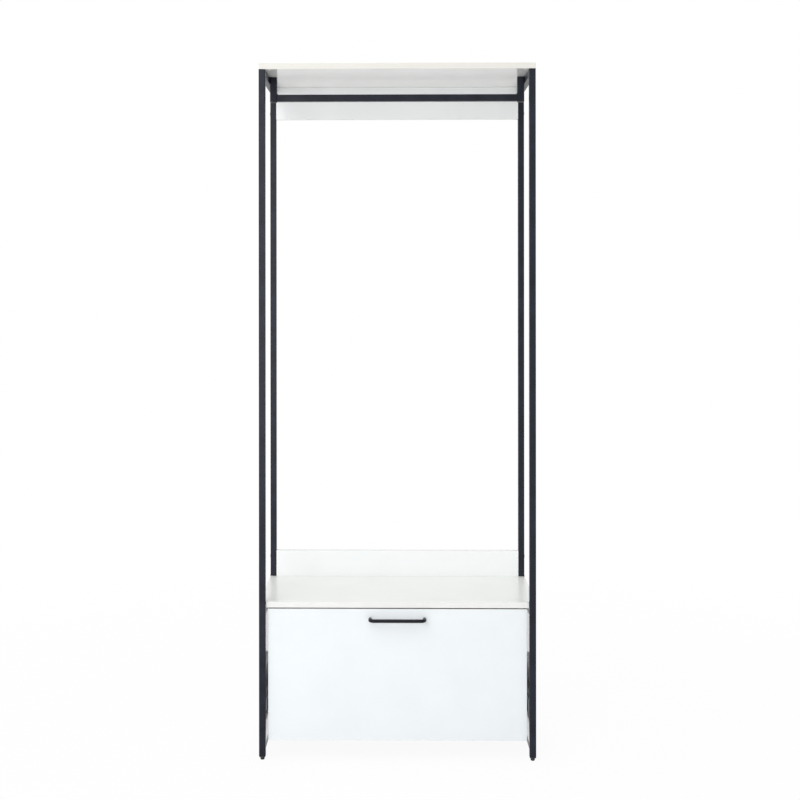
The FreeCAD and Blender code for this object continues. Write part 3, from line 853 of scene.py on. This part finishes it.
@dataclass
class Boards(SubAssembly):
    """Every coated board, with its edges scraped round. Sizes are in millimetres, angles in degrees."""

    edge_radius: float = 0.9
    edge_steps: int = 3
    round_profile: float = 0.5
    same_point: float = 0.01
    same_plane: float = 1.0
    outer_angle: float = 40.0
    flat_share: float = 0.97

    def specs(self) -> list[BoardSpec]:
        """List every board.

        Returns:
            The boards in the order of their making.
        """
        # the top board's underside is painted shade: a greyer white than its top
        specs = [BoardSpec("top_board", BOARD_MELAMINE, WARM_SHADED_EDGE, underside=GLOSS_SHADED_MELAMINE),
                 # the bench's underside is painted shade: dark brown, so the gap over the drawer stays dark
                 BoardSpec("bench_board", BOARD_MELAMINE, PALE_EDGE, underside=SHADE_UNDER_BENCH)]
        # the back panels' brighter white is painted light
        specs += [BoardSpec(f"{place}_back_panel", PANEL_LIT_MELAMINE, PALE_EDGE)
                  for place in ("upper", "lower", "bottom")]
        specs += [BoardSpec(f"{side}_side_panel", GLOSS_SHADED_MELAMINE, WARM_SHADED_EDGE) for side in SIDES]
        specs.append(BoardSpec("drawer_front", FRONT_MELAMINE, PALE_EDGE, "drawer"))
        specs += [BoardSpec(f"drawer_{part}", BOX_MELAMINE, PALE_EDGE, "drawer")
                  for part in ("left_side", "right_side", "back")]
        specs.append(BoardSpec("drawer_bottom", BOX_MELAMINE, HARDBOARD, "drawer", HARDBOARD))
        return specs

    def build(self) -> None:
        """Make each board with round edges in place of its node."""
        for spec in self.specs():
            self.rounded_board(spec)

    def rounded_board(self, spec: BoardSpec) -> None:
        """Copy a board's node, round its outer edges and give its faces their finishes.

        Args:
            spec: The board.
        """
        shape = bmesh.new()
        shape.from_mesh(self.nodes[spec.node].data)
        bmesh.ops.remove_doubles(shape, verts=shape.verts, dist=self.same_point * MM)
        bmesh.ops.dissolve_limit(shape, angle_limit=math.radians(self.same_plane), verts=shape.verts,
                                 edges=shape.edges)
        outer = [edge for edge in shape.edges if edge.is_manifold and edge.is_convex
                 and edge.calc_face_angle(0.0) > math.radians(self.outer_angle)]
        bmesh.ops.bevel(shape, geom=outer, offset=self.edge_radius * MM, segments=self.edge_steps,
                        profile=self.round_profile, affect="EDGES", clamp_overlap=True)
        low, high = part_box(spec.node)
        size = high - low
        thin = min(range(3), key=lambda axis: size[axis])
        shape.normal_update()
        for face in shape.faces:
            flat = abs(face.normal[thin]) > self.flat_share
            face.material_index = 0 if flat else 1
            if flat and spec.underside and face.normal[thin] < 0:
                face.material_index = 2
        finishes = [spec.face, spec.edge] + ([spec.underside] if spec.underside else [])
        make_piece(f"{spec.node}_coated", shape, finishes, spec.body, [spec.node])


@dataclass
class Feet(SubAssembly):
    """The plastic inserts, the levelling glides and the caps under the drops. Sizes are in millimetres.

    A profile pairs heights over the piece's lowest face with distances from its middle to its flats or its
    round side, from the lowest face up.
    """

    stud_hole_radius: float = 3.1
    stud_radius: float = 3.0
    thread_pitch: float = 1.0
    thread_depth: float = 0.35
    thread_steps: int = 8
    insert_profile: Profile = (
        (0.0, 7.6), (0.3, 8.2), (2.7, 9.7), (3.2, 10.0), (3.5, 10.0), (3.5, 8.6), (22.5, 8.6), (23.5, 7.8))
    cap_profile: Profile = (
        (0.0, 8.5), (0.25, 9.9), (0.8, 10.7), (1.5, 11.0), (2.5, 11.0), (2.5, 9.6), (13.5, 9.6), (14.5, 8.8))
    foot_profile: Profile = (
        (0.0, 3.8), (0.15, 4.7), (0.7, 5.6), (1.6, 6.2), (2.8, 6.5), (6.8, 6.5), (7.6, 6.1), (8.0, 5.4),
        (8.2, 4.2))

    def build(self) -> None:
        """Make the feet and caps in place of their nodes."""
        for side in SIDES:
            for end in ENDS:
                self.insert(f"{side}_{end}_insert")
                self.glide(f"{side}_{end}_glide")
            self.drop_cap(f"{side}_drop_cap")

    def place_piece(self, node: str, shape: Shape, ending: str, body: str) -> None:
        """Put a shape on the middle of its node's lowest face and make it a piece in place of the node.

        Args:
            node: The node.
            shape: The shape, which stands on the origin.
            ending: The last word of the piece's name.
            body: The body that it rides on.
        """
        spot = middle(node)
        spot.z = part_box(node)[0].z
        shape.transform(Matrix.Translation(spot))
        make_piece(f"{node}_{ending}", shape, [BLACK_PLASTIC], body, [node])

    def insert(self, node: str) -> None:
        """Make an insert: a flange with a tapered rim below a plug, with the stud's hole through both.

        Args:
            node: The insert's node.
        """
        sleeve = square_rings(self.insert_profile)
        hole = [Ring(end.height, self.stud_hole_radius) for end in (sleeve[0], sleeve[-1])]
        self.place_piece(node, form_rings([hole[0], *sleeve, hole[1]], closed=True), "moulded", "frame")

    def drop_cap(self, node: str) -> None:
        """Make the cap under a drop: a crowned flange with a short plug.

        Args:
            node: The cap's node.
        """
        self.place_piece(node, form_rings(square_rings(self.cap_profile)), "moulded", "frame")

    def glide(self, node: str) -> None:
        """Make a levelling glide: a rounded foot on a threaded stud.

        Args:
            node: The glide's node.
        """
        low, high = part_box(node)
        foot_top = self.foot_profile[-1][0]
        length = (high.z - low.z) / MM - foot_top
        rings = [Ring(height, radius) for height, radius in self.foot_profile]
        steps = int(length / self.thread_pitch * self.thread_steps)
        for step in range(steps + 1):
            along = length * step / steps
            # the thread runs out over one turn at both ends of the stud
            fade = min(1.0, (length - along) / self.thread_pitch, along / self.thread_pitch)
            rings.append(ThreadRing(foot_top + along, self.stud_radius, pitch=self.thread_pitch,
                                    depth=self.thread_depth * fade))
        self.place_piece(node, form_rings(rings), "turned", f"{node}_body")


@dataclass
class Drawer(SubAssembly):
    """The handle and the fittings of the drawer's box. Sizes are in millimetres.

    Screws and cams have their heights over the lower edges of the box's sides.
    """

    shank_radius: float = 1.95
    shank_start: float = 0.1
    tip_radius: float = 1.5
    tip_length: float = 0.6
    cam_radius: float = 7.5
    cam_sink: float = 0.3
    cam_wall: float = 0.25
    cam_height: float = 0.45
    cam_chamfer: float = 0.3
    cam_inset: float = 34.0
    cam_heights: tuple[float, float] = (45.0, 128.0)
    slot_rim: float = 2.4
    slot_size: float = 2.0
    slot_floor: float = 1.8
    slot_depth: float = 0.35
    back_screw_heights: tuple[float, float] = (35.0, 138.0)

    def build(self) -> None:
        """Dress the handle and add the fittings."""
        dress_nodes(self.nodes, ["handle"], HANDLE_COAT)
        self.handle_screws()
        self.cam_covers()
        self.back_screws()

    def handle_screws(self) -> None:
        """Make the pan head screws with their shanks, in place of their node."""
        low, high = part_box("handle_screws")
        length = (high.y - low.y) / MM - PAN_SCREW.height
        tip = [Ring(-length, self.tip_radius), Ring(-length + self.tip_length, self.shank_radius)]
        shank = form_rings([*tip, Ring(-self.shank_start, self.shank_radius)])
        screw = PAN_SCREW.shape()
        stamp(screw, shank, Matrix.Identity(4))
        shank.free()
        inset = PAN_SCREW.radius * MM
        places = [facing(Vector((x, high.y - PAN_SCREW.height * MM, middle("handle_screws").z)), Y)
                  for x in (low.x + inset, high.x - inset)]
        group = stamp_group(screw, places)
        make_piece("handle_screws_headed", group, [ZINC], "drawer", ["handle_screws"])

    def cam_covers(self) -> None:
        """Put the round covers over the cam fittings that pull the front against the sides."""
        top = self.cam_height
        cover = form_rings([Ring(-self.cam_sink, self.cam_radius), Ring(self.cam_wall, self.cam_radius),
                            Ring(top, self.cam_radius - self.cam_chamfer), Ring(top, self.slot_rim),
                            Ring(top, self.slot_size, Outline.CROSS),
                            Ring(top - self.slot_depth, self.slot_floor, Outline.CROSS)])
        places = []
        for side, sign in SIDES.items():
            low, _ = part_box(f"drawer_{side}_side")
            inner, _ = flanks(f"drawer_{side}_side", sign)
            for height in self.cam_heights:
                spot = Vector((inner, low.y + self.cam_inset * MM, low.z + height * MM))
                places.append(facing(spot, X * -sign))
        make_piece("cam_covers", stamp_group(cover, places), [WHITE_PLASTIC], "drawer")

    def back_screws(self) -> None:
        """Put the screws that hold the box's back, in the outer faces of its sides."""
        spots = []
        for side, sign in SIDES.items():
            low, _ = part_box(f"drawer_{side}_side")
            _, outer = flanks(f"drawer_{side}_side", sign)
            for height in self.back_screw_heights:
                spots.append((Vector((outer, middle("drawer_back").y, low.z + height * MM)), X * sign))
        screw_group("box_screws", BOX_SCREW, spots, ZINC, "drawer")


@dataclass
class Slides(SubAssembly):
    """The ball bearing slides. Sizes are in millimetres.

    A row of balls has a depth, from the side panel's face inwards, and a rise from the slide's middle.
    """

    ball_radius: float = 1.6
    ball_pitch: float = 14.0
    ball_detail: int = 3
    outer_depth: float = 2.85
    outer_rise: float = 20.0
    inner_depth: float = 8.4
    inner_rise: float = 16.9
    slot_margin: float = 30.0

    def build(self) -> None:
        """Dress the members and cages, then add the balls and the mounting screws."""
        for side, sign in SIDES.items():
            parts = ("cabinet_member", "middle_member", "drawer_member", "outer_cage", "inner_cage")
            dress_nodes(self.nodes, [f"{side}_{part}" for part in parts], ZINC)
            self.balls(side, sign, "outer", self.outer_depth, self.outer_rise)
            self.balls(side, sign, "inner", self.inner_depth, self.inner_rise)
            self.screws(side, sign)

    def balls(self, side: str, sign: float, cage: str, depth: float, rise: float) -> None:
        """Fill one cage with its two rows of balls.

        Args:
            side: The slide's side.
            sign: -1 on the left, 1 on the right.
            cage: outer or inner.
            depth: The balls' distance from the side panel's face.
            rise: Their distance above and below the slide's middle.
        """
        node = f"{side}_{cage}_cage"
        low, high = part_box(node)
        member = f"{side}_cabinet_member"
        _, face = flanks(member, sign)
        pitch = self.ball_pitch * MM
        count = int((high.y - low.y) / pitch)
        start = middle(node).y - (count - 1) / 2 * pitch
        places = [Matrix.Translation((face - sign * depth * MM, start + index * pitch,
                                      middle(member).z + way * rise * MM))
                  for index in range(count) for way in (-1, 1)]
        ball = bmesh.new()
        bmesh.ops.create_icosphere(ball, subdivisions=self.ball_detail, radius=self.ball_radius * MM)
        group = stamp_group(ball, places)
        make_piece(f"{side}_{cage}_balls", group, [BALL_STEEL], f"{node}_body")

    def screws(self, side: str, sign: float) -> None:
        """Put the screws into the slots of the cabinet and the drawer member.

        Args:
            side: The slide's side.
            sign: -1 on the left, 1 on the right.
        """
        for member, body in (("cabinet", "frame"), ("drawer", "drawer")):
            node = f"{side}_{member}_member"
            low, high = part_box(node)
            inner, outer = flanks(node, sign)
            surface, direction = (outer, X * -sign) if member == "cabinet" else (inner, X * sign)
            spots = [(Vector((surface, y, middle(node).z)), direction)
                     for y in (low.y + self.slot_margin * MM, high.y - self.slot_margin * MM)]
            screw_group(f"{side}_{member}_slide_screws", SLIDE_SCREW, spots, ZINC, body)


@dataclass(frozen=True)
class SoftBox:
    """A large soft lamp: its place, aim, width and height in metres, and its power in watts."""

    name: str
    place: tuple[float, float, float]
    aim: tuple[float, float, float]
    width: float
    height: float
    power: float

    def build(self) -> None:
        """Add the lamp to the scene."""
        lamp = bpy.data.lights.new(self.name, "AREA")
        lamp.shape = "RECTANGLE"
        lamp.size = self.width
        lamp.size_y = self.height
        lamp.energy = self.power
        thing = bpy.data.objects.new(self.name, lamp)
        bpy.context.scene.collection.objects.link(thing)
        thing.location = self.place
        thing.rotation_euler = (Vector(self.aim) - Vector(self.place)).to_track_quat("-Z", "Y").to_euler()


LAMPS = (
    SoftBox("key_lamp", (-2.4, -4.4, 6.4), (0.0, 0.0, 0.6), 4.0, 4.0, 113.0),
    # it stands tall, for the long highlight on the left front post
    SoftBox("window_lamp", (-1.45, -4.5, 1.6), (0.0, 0.0, 1.3), 1.3, 3.0, 38.0),
    SoftBox("side_lamp", (-2.8, -2.6, 1.6), (0.0, 0.0, 0.9), 2.0, 2.0, 14.0),
    SoftBox("hair_lamp", (-0.2, 1.7, 4.8), (0.0, 0.0, 0.5), 1.6, 1.6, 31.0),
)
WHITE = linear("#ffffff")


@dataclass(frozen=True)
class Studio:
    """The white studio and the camera at the photograph's viewpoint.

    Lengths are in metres and angles in degrees, but the lens and its sensor are in millimetres.
    """

    ambient: float = 0.6
    floor_size: float = 60.0
    floor_colour: str = "#fafaf9"
    floor_glow: float = 0.94
    shadow_reach: float = 0.8
    white_reach: float = 3.0
    camera_distance: float = 4.4306
    camera_height: float = 1.4522
    camera_turn: float = 0.9
    camera_roll: float = 0.04
    focal_length: float = 65.03
    sensor: float = 36.0
    shift_x: float = 0.0320
    shift_y: float = -0.141

    def build(self) -> None:
        """Make the world, the floor, the lamps and the camera."""
        self.world()
        self.floor()
        for lamp in LAMPS:
            lamp.build()
        self.camera()
        bpy.context.scene.view_settings.view_transform = "Standard"

    def seen_directly(self, tree: Tree) -> Socket:
        """Tell the rays that should find a white studio from those that only carry light.

        Args:
            tree: The node tree to add to.

        Returns:
            A socket that is 1 for camera, glossy and transmission rays, and 0 for all others.
        """
        path = add_node(tree, Kind.LIGHT_PATH)
        seen = path.outputs["Is Camera Ray"]
        for ray in ("Is Glossy Ray", "Is Transmission Ray"):
            both = add_node(tree, Kind.MATHS, {"operation": "MAXIMUM"}, {0: seen, 1: path.outputs[ray]})
            seen = both.outputs["Value"]
        return seen

    def world(self) -> None:
        """Make a world that looks white and lights the unit softly."""
        world = bpy.data.worlds.new("studio")
        bpy.context.scene.world = world
        world.use_nodes = True
        tree = world.node_tree
        tree.nodes.clear()
        light = add_node(tree, Kind.BACKGROUND, {"Color": WHITE, "Strength": self.ambient})
        look = add_node(tree, Kind.BACKGROUND, {"Color": WHITE, "Strength": 1.0})
        mix = add_node(tree, Kind.MIX_SHADERS, None,
                       {0: self.seen_directly(tree), 1: light.outputs[0], 2: look.outputs[0]})
        add_node(tree, Kind.WORLD_OUTPUT, None, {"Surface": mix.outputs[0]})

    def floor(self) -> None:
        """Make a pale floor that runs out to the white and keeps a faint shadow of the unit."""
        shape = bmesh.new()
        bmesh.ops.create_grid(shape, x_segments=1, y_segments=1, size=self.floor_size / 2)
        mesh = bpy.data.meshes.new("studio_floor")
        shape.to_mesh(mesh)
        shape.free()
        floor = bpy.data.objects.new("studio_floor", mesh)
        bpy.context.scene.collection.objects.link(floor)
        mesh.materials.append(self.floor_paint())

    def floor_paint(self) -> bpy.types.Material:
        """Make a matt paint that takes shadows near the unit and turns to plain white far from it.

        Returns:
            The material, which lets no horizon show.
        """
        paint = bpy.data.materials.new("studio_floor_paint")
        paint.use_nodes = True
        tree = paint.node_tree
        tree.nodes.clear()
        matt = add_node(tree, Kind.DIFFUSE, {"Color": linear(self.floor_colour)})
        glow = add_node(tree, Kind.EMISSION, {"Color": WHITE, "Strength": 1.0})
        place = add_node(tree, Kind.COORDS)
        distance = add_node(tree, Kind.VECTOR_MATHS, {"operation": "LENGTH"}, {0: place.outputs["Object"]})
        glow_share = add_node(tree, Kind.SPAN, {"From Min": self.shadow_reach, "From Max": self.white_reach,
                                                "To Min": self.floor_glow, "To Max": 1.0},
                              {"Value": distance.outputs["Value"]})
        share = add_node(tree, Kind.MATHS, {"operation": "MULTIPLY"},
                         {0: self.seen_directly(tree), 1: glow_share.outputs["Result"]})
        mix = add_node(tree, Kind.MIX_SHADERS, None,
                       {0: share.outputs["Value"], 1: matt.outputs[0], 2: glow.outputs[0]})
        add_node(tree, Kind.MATERIAL_OUTPUT, None, {"Surface": mix.outputs[0]})
        return paint

    def camera(self) -> None:
        """Put a level camera in front of the unit, where the perspective fits the unit's depth."""
        lens = bpy.data.cameras.new("camera")
        lens.lens = self.focal_length
        lens.sensor_width = self.sensor
        lens.shift_x = self.shift_x
        lens.shift_y = self.shift_y
        lens.clip_end = 2 * self.floor_size
        camera = bpy.data.objects.new("camera", lens)
        bpy.context.scene.collection.objects.link(camera)
        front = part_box("left_front_post")[0].y
        camera.location = (0.0, front - self.camera_distance, self.camera_height)
        camera.rotation_euler = [math.radians(angle) for angle in (90, self.camera_roll, self.camera_turn)]
        bpy.context.scene.camera = camera


def main() -> None:
    """Load the frame, and make every sub-assembly and the studio."""
    logging.basicConfig(level=logging.INFO, format="%(message)s")
    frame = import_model()
    nodes = frame["nodes"]
    for part in (SteelFrame(nodes), Boards(nodes), Feet(nodes), Drawer(nodes), Slides(nodes)):
        log.info("building %s", type(part).__name__)
        part.build()
    Studio().build()


if __name__ == "__main__":
    main()
